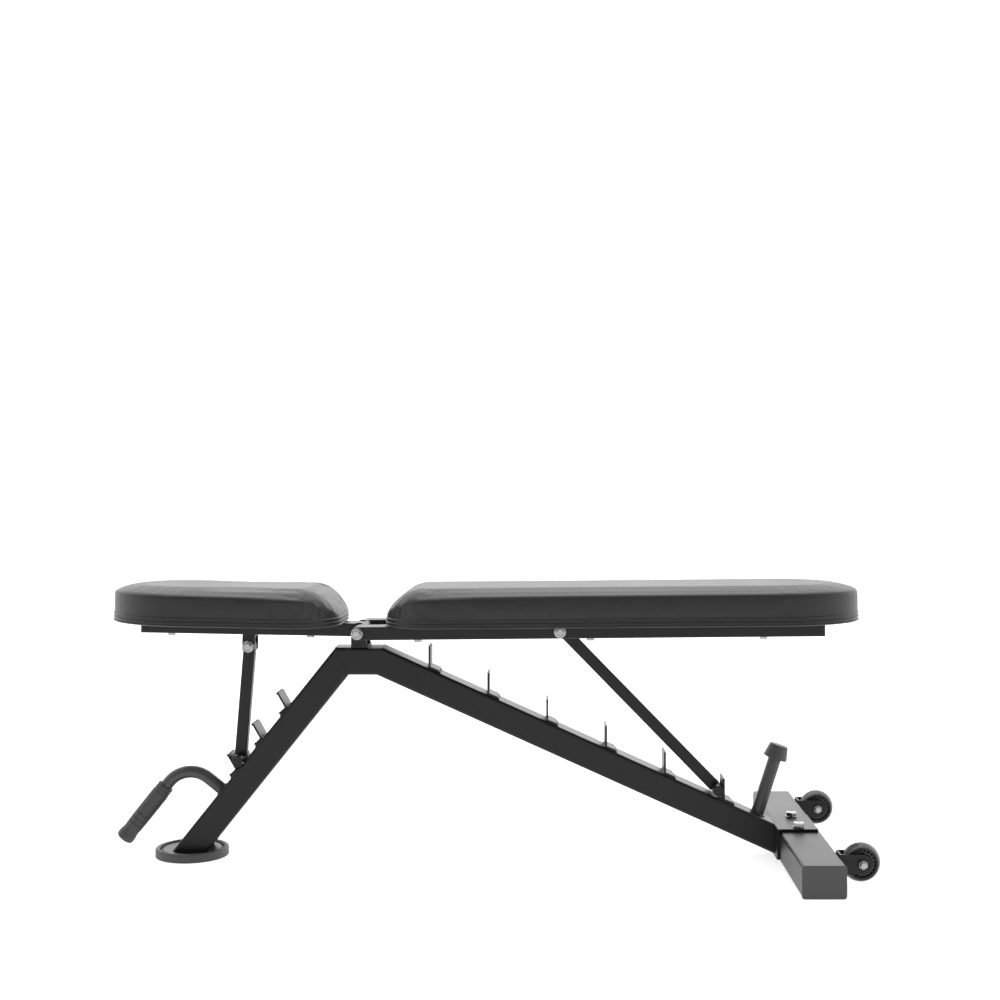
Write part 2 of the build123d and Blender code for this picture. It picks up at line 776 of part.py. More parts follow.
back_low = rail_high / 2
rail_wide = rail_outer - rail_inner
rail_middle = (rail_outer + rail_inner) / 2
back_head = place(back_rest_angle, back_strut_head_along, 0)
back_bolts = [(along, side * rail_middle) for along in (100.0, 390.0, 681.0) for side in (-1, 1)]


def back_rail(side, name):
    """Rail of the backrest, coped round its pivot sleeve."""
    with BuildPart() as rail:
        start = level_plane(back_rest_angle, back_low, 0, side * rail_middle)
        with BuildSketch(Plane(origin=start.origin, x_dir=(0, 1, 0), z_dir=start.x_dir)):
            box_section(rail_wide, rail_high, rail_corner, rail_wall)
        extrude(amount=rail_to)
        rod(across(pivot_x, -2 * rail_outer, pivot_z), sleeve_r, 4 * rail_outer, Mode.SUBTRACT)
        rod(across(back_head[0], -2 * rail_outer, back_head[1]), bolt_r + 0.1, 4 * rail_outer, Mode.SUBTRACT)
        for along, aside in back_bolts:
            rod(level_plane(back_rest_angle, -rail_high, along, aside), pad_bolt_r + 0.25,
                2 * rail_high, Mode.SUBTRACT)
    save(rail, name)


back_rail(-1, "back_rail_right")
back_rail(1, "back_rail_left")

with BuildPart() as back_sleeves:
    for low in (-sleeve_out, ear_out + 0.5):
        ring(across(pivot_x, low, pivot_z), sleeve_r, bolt_r + running, sleeve_out - ear_out - 0.5)
save(back_sleeves, "back_sleeves")

with BuildPart() as back_rail_caps:
    for side in (-1, 1):
        start = level_plane(back_rest_angle, 0, rail_to, side * rail_middle)
        with BuildSketch(Plane(origin=start.origin, x_dir=(0, 1, 0), z_dir=start.x_dir)) as cover:
            RectangleRounded(rail_wide, rail_high, rail_corner)
        extrude(cover.sketch, amount=2.5)
        inside = 2 * rail_wall + 0.2
        with BuildSketch(Plane(origin=start.origin, x_dir=(0, 1, 0), z_dir=start.x_dir)) as plug:
            RectangleRounded(rail_wide - inside, rail_high - inside, 1.2)
        extrude(plug.sketch, amount=-14)
save(back_rail_caps, "back_rail_caps")

with BuildPart() as back_cross_plates:
    for along in (240.0, 744.0):
        with BuildSketch(level_plane(back_rest_angle, -back_low, along)) as strap:
            Rectangle(40, 2 * rail_inner)
        extrude(strap.sketch, amount=4)
save(back_cross_plates, "back_cross_plates")

pad(back_rest_angle, back_low, back_pad_top, back_pad_out, back_pad_in, "back")
board(back_rest_angle, back_low, back_pad_out, back_pad_in, back_bolts, "back")
pad_fasteners(back_rest_angle, back_low, rail_high, back_bolts, "back")

head_x, head_z = back_head
back_bolt_half = rail_outer + washer_thick
with BuildPart() as back_strut_bolt:
    rod(across(head_x, -back_bolt_half - nut_high, head_z), bolt_r, 2 * back_bolt_half + nut_high)
    hexagon(across(head_x, back_bolt_half, head_z), nut_across, head_high)
save(back_strut_bolt, "back_strut_bolt")

with BuildPart() as back_strut_nut:
    locknut(Plane(origin=(head_x, -back_bolt_half - 0.05, head_z), x_dir=(1, 0, 0), z_dir=(0, -1, 0)),
            nut_across, nut_high, bolt_r)
    for low in (-back_bolt_half, rail_outer):
        ring(across(head_x, low, head_z), washer_r, bolt_r, washer_thick)
save(back_strut_nut, "back_strut_nut_and_washers")

with BuildPart() as back_strut_spacers:
    for low in (-rail_inner, strut_side / 2 + 3):
        ring(across(head_x, low, head_z), strut_bush_r, bolt_r + 0.1, rail_inner - strut_side / 2 - 3)
save(back_strut_spacers, "back_strut_spacers")

# ---------------------------------------------------------------- struts


def strut(head, foot, pin_r, bush_half, name):
    """Square tube with an eye and bush at its head and a round pin welded across its foot."""
    reach = (foot[0] - head[0], foot[1] - head[1])
    angle = degrees(atan2(reach[1], reach[0]))
    long = (reach[0] ** 2 + reach[1] ** 2) ** 0.5
    with BuildPart() as tube:
        with BuildSketch(run_plane(*head, angle)) as section:
            RectangleRounded(strut_side, strut_side, 2.5)
            RectangleRounded(strut_side - 2 * strut_wall, strut_side - 2 * strut_wall, 1, mode=Mode.SUBTRACT)
        extrude(section.sketch, amount=long - 4)
        rod(across(head[0], -strut_side / 2, head[1]), strut_side / 2 - 0.3, strut_side)
        rod(across(head[0], -strut_side, head[1]), strut_bush_r, 2 * strut_side, Mode.SUBTRACT)
        rod(across(foot[0], -strut_side, foot[1]), pin_r, 2 * strut_side, Mode.SUBTRACT)
    save(tube, f"{name}_strut")
    with BuildPart() as bush:
        ring(across(head[0], -bush_half, head[1]), strut_bush_r, bolt_r + running, 2 * bush_half)
    save(bush, f"{name}_strut_bush")
    with BuildPart() as foot_pin:
        rod(across(foot[0], -foot_pin_half, foot[1]), pin_r, 2 * foot_pin_half)
        chamfer(foot_pin.edges().filter_by(GeomType.CIRCLE), length=1.0)
    save(foot_pin, f"{name}_strut_foot_pin")


seat_foot = step((apex_front, apex_top), front_angle, -seat_foot_along, seat_pin_r + 0.6)
strut(seat_head, seat_foot, seat_pin_r, strut_ear_in - 0.3, "seat")
strut(back_head, back_foot, back_pin_r, strut_side / 2 + 2.7, "back")
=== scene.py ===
# %% [markdown]
# # An adjustable weight bench
#
# The steelwork of this bench comes from its CAD model, which is loaded as a frame that nothing here
# may move. This lesson gives that frame its finishes, and models by hand what a CAD solid only stands
# for: the two upholstered pads, the turned rubber parts, the wheels, the fasteners and the welds.

# %% Load the frame
import json
import math

import bpy
from mathutils import Matrix, Vector


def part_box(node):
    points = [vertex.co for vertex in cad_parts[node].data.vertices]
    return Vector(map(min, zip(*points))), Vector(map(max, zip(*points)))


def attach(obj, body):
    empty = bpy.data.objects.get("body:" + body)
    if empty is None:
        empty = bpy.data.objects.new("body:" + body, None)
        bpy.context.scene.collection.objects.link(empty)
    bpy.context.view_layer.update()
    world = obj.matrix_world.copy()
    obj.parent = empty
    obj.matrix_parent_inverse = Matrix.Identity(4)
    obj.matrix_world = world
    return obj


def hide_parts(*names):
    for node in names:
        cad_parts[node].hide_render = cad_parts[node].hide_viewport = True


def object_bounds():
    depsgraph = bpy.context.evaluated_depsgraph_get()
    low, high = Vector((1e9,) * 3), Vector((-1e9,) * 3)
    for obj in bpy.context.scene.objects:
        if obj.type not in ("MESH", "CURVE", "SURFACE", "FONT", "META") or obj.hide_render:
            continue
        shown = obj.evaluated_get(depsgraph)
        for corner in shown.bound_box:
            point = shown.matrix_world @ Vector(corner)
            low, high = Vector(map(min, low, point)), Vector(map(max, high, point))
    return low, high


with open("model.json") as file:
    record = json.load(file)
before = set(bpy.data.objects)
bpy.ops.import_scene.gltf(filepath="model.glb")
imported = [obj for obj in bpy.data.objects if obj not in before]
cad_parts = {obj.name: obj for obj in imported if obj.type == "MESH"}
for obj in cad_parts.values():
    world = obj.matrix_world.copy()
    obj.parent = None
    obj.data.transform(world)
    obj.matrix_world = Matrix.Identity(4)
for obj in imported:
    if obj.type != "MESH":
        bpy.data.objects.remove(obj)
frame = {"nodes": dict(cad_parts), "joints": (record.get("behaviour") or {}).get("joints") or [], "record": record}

cad_low, cad_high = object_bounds()
print("CAD box, mm:", [round(1000 * v) for v in cad_high - cad_low])

# %% [markdown]
# Many places in this file are worked out from the frame. Lengths are written in millimetres, because
# that is how a maker thinks of them, and the factor `mm` turns them into Blender's metres. The joints
# give the pivots, and the boxes of the CAD nodes give the faces that a new piece has to meet.

# %% Places taken from the frame
mm = 0.001
hinge = {joint["name"]: Vector(joint["pos_m"]) for joint in frame["joints"]}
pivot = hinge["seat_tilt"]
floor_level = cad_low.z


def mesh_points(node):
    """The vertices of a CAD node, in the row frame."""
    return [vertex.co.copy() for vertex in frame["nodes"][node].data.vertices]


def groups(node, axis, gap):
    """The vertices of a CAD node in groups that lie more than a gap apart along an axis."""
    points = sorted(mesh_points(node), key=lambda point: point[axis])
    found = [[points[0]]]
    for before, point in zip(points, points[1:]):
        if point[axis] - before[axis] > gap:
            found.append([])
        found[-1].append(point)
    return found


print("pivot, mm:", [round(v / mm, 1) for v in pivot])

# %% [markdown]
# ## Camera
#
# A catalogue picture of a long, low object is taken from far back, so that the near and the far ends
# keep nearly the same scale. The camera stays level, and a small lens shift, not a tilt, frames the
# bench: with a tilt, the upright edges of the frame would lean towards each other.

# %% Camera
camera_distance = 2.6
camera_height = 0.651
camera_aside = 0.104
camera_data = bpy.data.cameras.new("catalogue_camera")
camera_data.sensor_width = 36.0
camera_data.lens = 54.29
camera_data.shift_x = -0.047
camera_data.shift_y = -0.023
camera = bpy.data.objects.new("catalogue_camera", camera_data)
camera.location = (camera_aside, -camera_distance, camera_height)
camera.rotation_euler = (math.radians(90), 0, 0)
bpy.context.scene.collection.objects.link(camera)
bpy.context.scene.camera = camera
print("camera", tuple(camera.location), "lens", camera_data.lens)

# %% [markdown]
# ## Shader arithmetic
#
# A node tree is easier to read as a formula. The class below wraps one socket: arithmetic on it adds
# Math nodes, and the method `node` adds any other node, first its settings and then its sockets.

# %% One socket as a value in a formula
class Shade:
    """A socket of a material. Arithmetic on it adds Math nodes."""

    def __init__(self, tree, socket=None):
        self.tree = tree
        self.socket = socket

    def node(self, kind, sockets=None, output=0, **settings):
        """Adds a node of a kind and gives one of its outputs."""
        made = self.tree.nodes.new("ShaderNode" + kind)
        for name, value in settings.items():
            if name == "stops":
                ramp = made.color_ramp.elements
                while len(ramp) < len(value):
                    ramp.new(1.0)
                for stop, (place, grey) in zip(ramp, value):
                    stop.position = place
                    stop.color = (grey, grey, grey, 1)
            else:
                setattr(made, name, value)
        for name, value in (sockets or {}).items():
            if isinstance(value, Shade):
                self.tree.links.new(value.socket, made.inputs[name])
            else:
                made.inputs[name].default_value = value
        return Shade(self.tree, made.outputs[output])

    def maths(self, operation, *values):
        """A Math node on up to three values."""
        return self.node("Math", dict(enumerate(values)), operation=operation)

    def __add__(self, other):
        return self.maths("ADD", self, other)

    def __mul__(self, other):
        return self.maths("MULTIPLY", self, other)

    def __sub__(self, other):
        return self.maths("SUBTRACT", self, other)

    def __rsub__(self, other):
        return self.maths("SUBTRACT", other, self)

    def noise(self, place, scale, detail=2.0, roughness=0.5):
        """Soft noise between 0 and 1, with so many features to the metre."""
        sockets = {"Vector": place, "Scale": scale, "Detail": detail, "Roughness": roughness}
        return self.node("TexNoise", sockets)

    def cells(self, place, scale, feature="DISTANCE_TO_EDGE"):
        """Distance within a pattern of cells, with so many cells to the metre."""
        return self.node("TexVoronoi", {"Vector": place, "Scale": scale}, feature=feature)

    def stretch(self, place, scale):
        """A place scaled differently along each axis."""
        return self.node("Mapping", {"Vector": place, "Scale": scale})

    def band(self, stops):
        """A grey ramp of this value."""
        return self.node("ValToRGB", {"Fac": self}, stops=stops)

    def blend(self, first, second):
        """A colour between two, by this value."""
        return self.node("MixRGB", {"Fac": self, "Color1": (*first, 1), "Color2": (*second, 1)})

    def bump(self, strength, depth, under=None):
        """A normal raised by this height."""
        sockets = {"Height": self, "Strength": strength, "Distance": depth}
        if under:
            sockets["Normal"] = under
        return self.node("Bump", sockets)


print("shader arithmetic ready")

# %% [markdown]
# Each finish has its own function, which begins with the same few lines: a new material, its
# Principled shader, and the point of the object that is being shaded. Constants are set on the
# shader's own sockets. What varies over a surface is linked to colour, roughness or normal only.

# %% The start of every finish
def new_finish(name, **constants):
    """A material, its shader's sockets and the shaded point."""
    material = bpy.data.materials.new(name)
    material.use_nodes = True
    tree = material.node_tree
    shader = tree.nodes["Principled BSDF"]
    for socket, value in constants.items():
        shader.inputs[socket.replace("_", " ")].default_value = value
    start = Shade(tree)
    return material, shader, start.node("TexCoord", output=3)


def wire(shader, **values):
    """Links varying values to the shader's sockets."""
    for socket, value in values.items():
        value.tree.links.new(value.socket, shader.inputs[socket.replace("_", " ")])


finish = {}
print("finishes are kept in a dictionary by name")

# %% [markdown]
# ** Powder coat.** The tubes and plates are sprayed with black powder and baked. Close up the film has
# the soft bumps of orange peel and a fine grit of unmelted grains, and its gloss drifts a little from
# place to place. Two scales of noise in the bump and one in the roughness give that. The round tubes
# of the handle and the bumper post get a shinier coat with a lighter base colour than the box tubes;
# the lighter colour is a painted highlight for the pale lit tops of the round tubes.

# %% Powder coat
def powder_coat(name, low, high, index):
    """Satin black powder coat over steel, between two tones of grey."""
    material, shader, place = new_finish(name, IOR=index)
    drift = place.noise(place, 9.0, 3.0)
    grit = place.noise(place, 1400.0, 2.0)
    peel = place.noise(place, 420.0, 1.0)
    wire(shader, Base_Color=drift.blend((low, low, low * 1.03), (high, high, high * 1.03)))
    wire(shader, Roughness=drift * 0.10 + grit * 0.08 + 0.30)
    wire(shader, Normal=(peel * 0.7 + grit * 0.3).bump(0.22, 0.00035))
    return material


finish["powder_coat"] = powder_coat("powder_coat", 0.005, 0.010, 1.36)
# The same powder coat, shinier and with a lighter base colour: the lighter colour is a painted highlight for the
# lit round tubes.
finish["painted_highlight_tube_coat"] = powder_coat("painted_highlight_tube_coat", 0.034, 0.050, 1.5)
print("made", list(finish))

# %% [markdown]
# **Zinc plate.** Nuts, bolts and washers are bright zinc: a pale metal with a faint blue and straw
# tint from its passivation, and fine scratches from the wrench. The scratches are noise stretched
# along one axis.

# %% Zinc plate
def zinc_plate():
    """Bright zinc plate on fasteners."""
    material, shader, place = new_finish("zinc_plate", Metallic=1.0)
    tint = place.noise(place, 160.0, 2.0)
    scratches = place.noise(place.stretch(place, (300.0, 300.0, 3500.0)), 1.0, 2.0)
    wire(shader, Base_Color=tint.blend((0.24, 0.25, 0.27), (0.44, 0.43, 0.41)))
    wire(shader, Roughness=scratches * 0.16 + 0.14)
    wire(shader, Normal=scratches.bump(0.12, 0.0002))
    return material


finish["zinc_plate"] = zinc_plate()
print("made zinc_plate")

# %% [markdown]
# **Bearing steel.** The rings of a ball bearing are ground, not plated, so they are darker than zinc
# and carry a thin, uneven film of oil. One fine noise drives both the tone and the roughness.

# %% Ground bearing steel
def bearing_steel():
    """Ground rings of the ball bearings, darker towards the oil film."""
    material, shader, place = new_finish("bearing_steel", Metallic=1.0)
    film = place.noise(place, 500.0, 2.0)
    wire(shader, Base_Color=film.blend((0.30, 0.30, 0.31), (0.52, 0.52, 0.54)))
    wire(shader, Roughness=film * 0.2 + 0.22)
    wire(shader, Normal=film.bump(0.08, 0.0001))
    return material


finish["bearing_steel"] = bearing_steel()
print("made bearing_steel")

# %% [markdown]
# **Leatherette.** The pads are covered in black vinyl on a knit backing. Its grain is a pebble
# pattern: rounded cells about a millimetre across, of uneven size, with creases between them. The
# cells come from a Voronoi texture's distance to its edges, bent by a little noise. The creases hold
# less gloss than the pebbles, and handling leaves broad patches of slightly different sheen.

# %% Leatherette
def leatherette():
    """Black vinyl with a pebbled grain."""
    material, shader, place = new_finish("leatherette", IOR=1.44)
    wander = place.noise(place, 500.0, 1.0)
    grain = place.cells(place, 850.0).band([(0.0, 0.0), (0.22, 0.8), (0.5, 1.0)])
    fold = place.noise(place.stretch(place, (26.0, 26.0, 60.0)), 1.0, 3.0)
    sheen = place.noise(place, 7.0, 3.0)
    wire(shader, Base_Color=sheen.blend((0.009, 0.009, 0.0094), (0.016, 0.016, 0.0165)))
    wire(shader, Roughness=sheen * 0.10 + (1 - grain) * 0.10 + 0.34)
    soft = fold.bump(0.25, 0.0012)
    wire(shader, Normal=(grain * 0.8 + wander * 0.2).bump(0.20, 0.0003, soft))
    return material


finish["leatherette"] = leatherette()
print("made leatherette")

# %% [markdown]
# **Rubber and plastic.** The foot, the grip, the caps, the hubs and the bushes are all moulded, and
# differ in tone, gloss and the coarseness of the mould's own texture. One function with those values
# makes them all.

# %% Rubber and plastic
def moulded_rubber(name, low, high, rough, texture, depth):
    """Moulded rubber or plastic: a fine spark-eroded texture with dull and shiny patches."""
    material, shader, place = new_finish(name, IOR=1.5)
    patch = place.noise(place, 22.0, 3.0)
    fine = place.noise(place, texture, 2.0)
    wire(shader, Base_Color=patch.blend((low, low, low * 1.03), (high, high, high * 1.03)))
    wire(shader, Roughness=patch * 0.12 + fine * 0.08 + rough)
    wire(shader, Normal=fine.bump(0.35, depth))
    return material


finish["foot_rubber"] = moulded_rubber("foot_rubber", 0.040, 0.056, 0.42, 900.0, 0.00025)
finish["grip_rubber"] = moulded_rubber("grip_rubber", 0.034, 0.046, 0.46, 1500.0, 0.0003)
finish["cap_plastic"] = moulded_rubber("cap_plastic", 0.044, 0.056, 0.40, 1800.0, 0.0002)
finish["hub_nylon"] = moulded_rubber("hub_nylon", 0.018, 0.026, 0.18, 700.0, 0.0001)
finish["bush_nylon"] = moulded_rubber("bush_nylon", 0.38, 0.46, 0.35, 900.0, 0.0001)
print("made", list(finish))

# %% [markdown]
# **Polyurethane.** The tyres are cast and come out glossy, and rolling dulls them in smears. A noise
# a few millimetres across lightens the tone and raises the roughness where the tyre is smeared.

# %% Cast polyurethane of the wheels
def wheel_urethane():
    """Glossy black polyurethane, dulled where it rolls."""
    material, shader, place = new_finish("wheel_urethane", IOR=1.5)
    smear = place.noise(place, 120.0, 3.0)
    wire(shader, Base_Color=smear.blend((0.040, 0.040, 0.041), (0.060, 0.060, 0.061)))
    wire(shader, Roughness=smear * 0.18 + 0.16)
    wire(shader, Normal=smear.bump(0.05, 0.0004))
    return material


finish["wheel_urethane"] = wheel_urethane()
print("made wheel_urethane")

# %% [markdown]
# **Plywood.** The boards under the pads are birch: long grain on the faces, and thin glued layers
# that show as bands on the edges. Noise stretched along the board gives the grain, and a wave texture
# across its thickness gives the layers.

# %% Birch plywood
def birch_plywood():
    """Plywood: long grain on the faces, thin glued layers on the edges."""
    material, shader, place = new_finish("birch_plywood", IOR=1.5)
    grain = place.noise(place.stretch(place, (8.0, 160.0, 160.0)), 1.0, 4.0)
    layers = place.node("TexWave", {"Vector": place, "Scale": 110.0, "Distortion": 0.6},
                        output=1, wave_type="BANDS", bands_direction="Z")
    wire(shader, Base_Color=(grain * 0.7 + layers * 0.3).blend((0.20, 0.13, 0.075), (0.46, 0.34, 0.21)))
    wire(shader, Roughness=grain * 0.2 + 0.55)
    wire(shader, Normal=grain.bump(0.3, 0.0004))
    return material


finish["birch_plywood"] = birch_plywood()
print("made birch_plywood")

# %% [markdown]
# ## Finishes on the CAD nodes
#
# The record says which material slot each CAD node has, and this table says which finish stands for
# each slot, so no node can be forgotten.

# %% Give every CAD node its finish
slot_finish = {
    "frame_steel": "powder_coat",
    "zinc": "zinc_plate",
    "bearing_steel": "bearing_steel",
    "rubber": "foot_rubber",
    "grip_foam": "grip_rubber",
    "cap_plastic": "cap_plastic",
    "wheel_tyre": "wheel_urethane",
    "wheel_hub": "hub_nylon",
    "vinyl": "leatherette",
    "plywood": "birch_plywood",
    "bush_nylon": "bush_nylon",
}
node_slot = {part["node"]: part["material_slot"] for part in frame["record"]["subparts"]}
for node, cad_object in frame["nodes"].items():
    cad_object.data.materials.clear()
    cad_object.data.materials.append(finish[slot_finish[node_slot[node]]])
# The handle tube and the bumper post take the coat whose lighter base colour is a painted highlight.
for node in ("handle_tube", "bumper_post"):
    frame["nodes"][node].data.materials[0] = finish["painted_highlight_tube_coat"]
print("finished", len(node_slot), "CAD nodes")

# %% [markdown]
# ## Tools of the workshop
#
# Three small tools serve all the modelled pieces. `deselect` comes first, because an operator acts on
# everything that is selected. `turned` works as a lathe does: it starts from one circle and extrudes
# it step by step along a profile of radii and heights. `settle` gives a finished piece its shading, its
# finish and the body it rides on, and hides the CAD nodes that it replaces.

# %% Selecting, turning and settling
def deselect():
    """Nothing is selected any more."""
    bpy.ops.object.select_all(action="DESELECT")


def turned(name, profile, segments=48, closed=False):
    """A lathe: extrudes a circle along (radius, height) steps in millimetres about +Z."""
    deselect()
    radius, height = profile[0]
    fill = "NOTHING" if closed else "NGON"
    bpy.ops.mesh.primitive_circle_add(vertices=segments, radius=radius * mm, fill_type=fill)
    piece = bpy.context.object
    piece.name = name
    bpy.ops.object.mode_set(mode="EDIT")
    bpy.ops.mesh.select_all(action="SELECT")
    bpy.ops.transform.translate(value=(0, 0, height * mm))
    for (old_radius, old_height), (radius, height) in zip(profile, profile[1:]):
        rise = {"value": (0, 0, (height - old_height) * mm)}
        bpy.ops.mesh.extrude_region_move(TRANSFORM_OT_translate=rise)
        grow = radius / old_radius
        bpy.ops.transform.resize(value=(grow, grow, 1), center_override=(0, 0, height * mm))
    bpy.ops.mesh.select_all(action="SELECT")
    bpy.ops.mesh.remove_doubles(threshold=0.00001)
    bpy.ops.mesh.normals_make_consistent(inside=False)
    bpy.ops.object.mode_set(mode="OBJECT")
    return piece


def lay(piece, place, direction):
    """Turns a piece from +Z to a direction, and moves it to a place in metres."""
    deselect()
    piece.select_set(True)
    bpy.context.view_layer.objects.active = piece
    piece.rotation_mode = "QUATERNION"
    piece.rotation_quaternion = Vector(direction).to_track_quat("Z", "Y")
    piece.location = place
    bpy.ops.object.transform_apply(location=True, rotation=True, scale=True)
    return piece


def joined(name, pieces):
    """Several pieces as one object."""
    deselect()
    for piece in pieces:
        piece.select_set(True)
    bpy.context.view_layer.objects.active = pieces[0]
    bpy.ops.object.join()
    pieces[0].name = name
    return pieces[0]


def settle(piece, body, finish_name, replaced=(), angle=35):
    """Shading, finish and body of a finished piece."""
    deselect()
    piece.select_set(True)
    bpy.context.view_layer.objects.active = piece
    bpy.ops.object.shade_smooth_by_angle(angle=math.radians(angle))
    piece.data.materials.clear()
    piece.data.materials.append(finish[finish_name])
    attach(piece, body)
    if replaced:
        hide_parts(*replaced)
    print(piece.name, len(piece.data.polygons), "faces")
    return piece


# %% [markdown]
# ## The pads
#
# Each pad is foam on a plywood board, pulled into a leatherette cover. Its plan is a half ellipse at
# the outer end and square with round corners at the end by the pivot. The wall rises straight to a
# crease, then a shoulder about 30 mm wide rolls over to an almost flat crown, and the end by the
# pivot is sloped so that both pads can tilt. The plan is written once, as a function of how far it is
# drawn in, and the wall, the crease, the shoulder and the crown are rings of that plan at their own
# heights.

# %% Dimensions of the two pads
pad_sizes = {
    "seat": {"turn": -1.05, "outer": -424.5, "inner": -33.0, "low": 11.25, "top": 71.0},
    "back": {"turn": 0.5, "outer": 850.5, "inner": 46.5, "low": 11.25, "top": 72.5},
}
pad_half = 130.0
pad_round = 139.0
pad_corner = 82.0
slope_drop = [(0, 40), (4, 32), (8, 26), (15, 16.5), (24, 8.5), (36, 2.5), (50, 0), (900, 0)]
crease_drop = [(0, 41), (8, 33), (14, 27), (32, 20), (47, 16), (160, 12), (300, 10.5), (900, 10.5)]
shoulder_wide = 30.0


def along_table(table, value):
    """A value read between the rows of a table."""
    for (start, first), (end, second) in zip(table, table[1:]):
        if value <= end:
            return first + (second - first) * max(0.0, value - start) / (end - start)
    return table[-1][1]


def pad_outline(size, inset, corner_steps=14, end_steps=60, side_steps=30):
    """The plan of a pad drawn in by an inset, as (along, aside) points in millimetres."""
    toward = 1 if size["inner"] > size["outer"] else -1
    half = pad_half - inset
    centre = size["outer"] + toward * pad_round
    inner = size["inner"] - toward * inset
    corner = max(pad_corner - inset, 2.0)
    points = []
    for step in range(end_steps + 1):
        turn = math.pi * (0.5 + step / end_steps)
        points.append((centre + toward * (pad_round - inset) * math.cos(turn), half * math.sin(turn)))
    for side in (-1, 1):
        run = [(centre + (inner - toward * corner - centre) * step / side_steps, side * half)
               for step in range(1, side_steps)]
        arc = []
        for step in range(corner_steps + 1):
            turn = math.pi / 2 * step / corner_steps
            arc.append((inner - toward * corner * (1 - math.sin(turn)),
                        side * (half - corner * (1 - math.cos(turn)))))
        points += run + arc if side < 0 else [(inner, y) for y in end_row(half - corner)] + (run + arc)[::-1]
    return points


def end_row(half, steps=10):
    """Evenly spaced places across the square end, between its corners."""
    return [half * (2 * step / steps - 1) for step in range(1, steps)]


def pad_height(size, along, inset):
    """Height of the cover over the pivot at a place along the pad and an inset from its edge."""
    reach = abs(along - size["inner"])
    slope = -along_table(slope_drop, reach)
    crease = min(-along_table(crease_drop, reach), slope - 1.0)
    rolled = math.sin(math.pi / 2 * min(inset / shoulder_wide, 1.0))
    return size["top"] + crease + (slope - crease) * rolled


print("pad plan has", len(pad_outline(pad_sizes["seat"], 0.0)), "points")

# %% [markdown]
# The rings are joined into a closed shell with a flat bottom. Then the pads are upholstered: a voxel
# remesh makes even faces about 4 mm across, and Cloth with an inner pressure swells the foam against
# its cover while the rows near the board and along the crease are pinned, as staples and thread hold
# the real cover. A cap on how far
# a point may move keeps the pad firm, and one subdivision smooths it.

# %% Foam and cover
def in_place(piece, size):
    """Lays a piece drawn in a pad's own lines through the pivot into the bench."""
    turn = Matrix.Rotation(-math.radians(size["turn"]), 4, "Y")
    piece.data.transform(Matrix.Translation(pivot) @ turn)
    return piece


def rings_to_mesh(name, rings, ends):
    """A mesh of rings in millimetres, joined by quads and closed at its ends or in a loop."""
    count = len(rings[0])
    corners = [Vector(point) * mm for ring in rings for point in ring]
    faces = []
    rounds = len(rings) - 1 if ends else len(rings)
    for level in range(rounds):
        low, high = level * count, (level + 1) % len(rings) * count
        for spot in range(count):
            after = (spot + 1) % count
            faces.append((low + spot, low + after, high + after, high + spot))
    if ends:
        faces.append(tuple(range(count))[::-1])
        faces.append(tuple(range((len(rings) - 1) * count, len(rings) * count)))
    mesh = bpy.data.meshes.new(name)
    mesh.from_pydata(corners, [], faces)
    piece = bpy.data.objects.new(name, mesh)
    bpy.context.scene.collection.objects.link(piece)
    deselect()
    piece.select_set(True)
    bpy.context.view_layer.objects.active = piece
    bpy.ops.object.mode_set(mode="EDIT")
    bpy.ops.mesh.select_all(action="SELECT")
    bpy.ops.mesh.normals_make_consistent(inside=False)
    bpy.ops.object.mode_set(mode="OBJECT")
    return piece


def foam(name, size):
    """The closed shell of one pad, before it is upholstered."""
    bottom = size["low"] + 2.0
    rings = [[(x, y, bottom) for x, y in pad_outline(size, 0.0)]]
    for share in (0.25, 0.5, 0.75):
        rings.append([(x, y, bottom + share * (pad_height(size, x, 0.0) - bottom))
                      for x, y in pad_outline(size, 0.0)])
    for inset in (0.0, 3.0, 7.0, 12.0, 18.0, 24.0, 30.0, 45.0, 60.0, 78.0, 100.0, 120.0):
        rings.append([(x, y, pad_height(size, x, inset)) for x, y in pad_outline(size, inset)])
    return rings_to_mesh(name, rings, True)


def is_held(size, point):
    """Whether a point of a pad is held: near the staples, or where the wall meets the shoulder."""
    crease = pad_height(size, point.x, 0.0)
    on_wall = abs(point.y) > pad_half - 5.0 or abs(point.x - size["outer"]) < pad_round
    return point.z < size["low"] + 17.0 or (on_wall and abs(point.z - crease) < 3.5)


def upholster(piece, size, voxel, cap):
    """Remeshes a pad, swells it by Cloth with a capped movement, and smooths it."""
    remesh = piece.modifiers.new("even_faces", "REMESH")
    remesh.mode = "VOXEL"
    remesh.voxel_size = voxel * mm
    bpy.ops.object.modifier_apply(modifier="even_faces")
    start = [vertex.co.copy() for vertex in piece.data.vertices]
    held = piece.vertex_groups.new(name="stapled")
    pinned = [spot for spot, point in enumerate(start) if is_held(size, point / mm)]
    held.add(pinned, 1.0, "REPLACE")
    cloth = piece.modifiers.new("cover", "CLOTH")
    cloth.settings.vertex_group_mass = "stapled"
    cloth.settings.use_pressure = True
    cloth.settings.uniform_pressure_force = 4.0
    cloth.settings.effector_weights.gravity = 0.0
    for frame_number in range(1, 21):
        bpy.context.scene.frame_set(frame_number)
    bpy.ops.object.modifier_apply(modifier="cover")
    bpy.context.scene.frame_set(1)
    for vertex, origin in zip(piece.data.vertices, start):
        moved = vertex.co - origin
        if moved.length > cap * mm:
            vertex.co = origin + moved.normalized() * cap * mm
    piece.vertex_groups.clear()
    smooth = piece.modifiers.new("smooth", "SUBSURF")
    smooth.levels = 1
    bpy.ops.object.modifier_apply(modifier="smooth")
    return piece


print("upholstery tools ready")

# %% [markdown]
# The cover is gathered where it turns the corners by the pivot, so short pleats fan out there above
# the hem. They are pushed into the finished mesh in a band of the wall: deepest at the middle of the
# band, and fading to nothing at the hem below and near the crease above.

# %% Gathers at the corners
gather_from = 14.0
gather_high = 30.0
pleat_deep = 0.9
pleats_per_radian = 22.0
pull_deep = 0.35


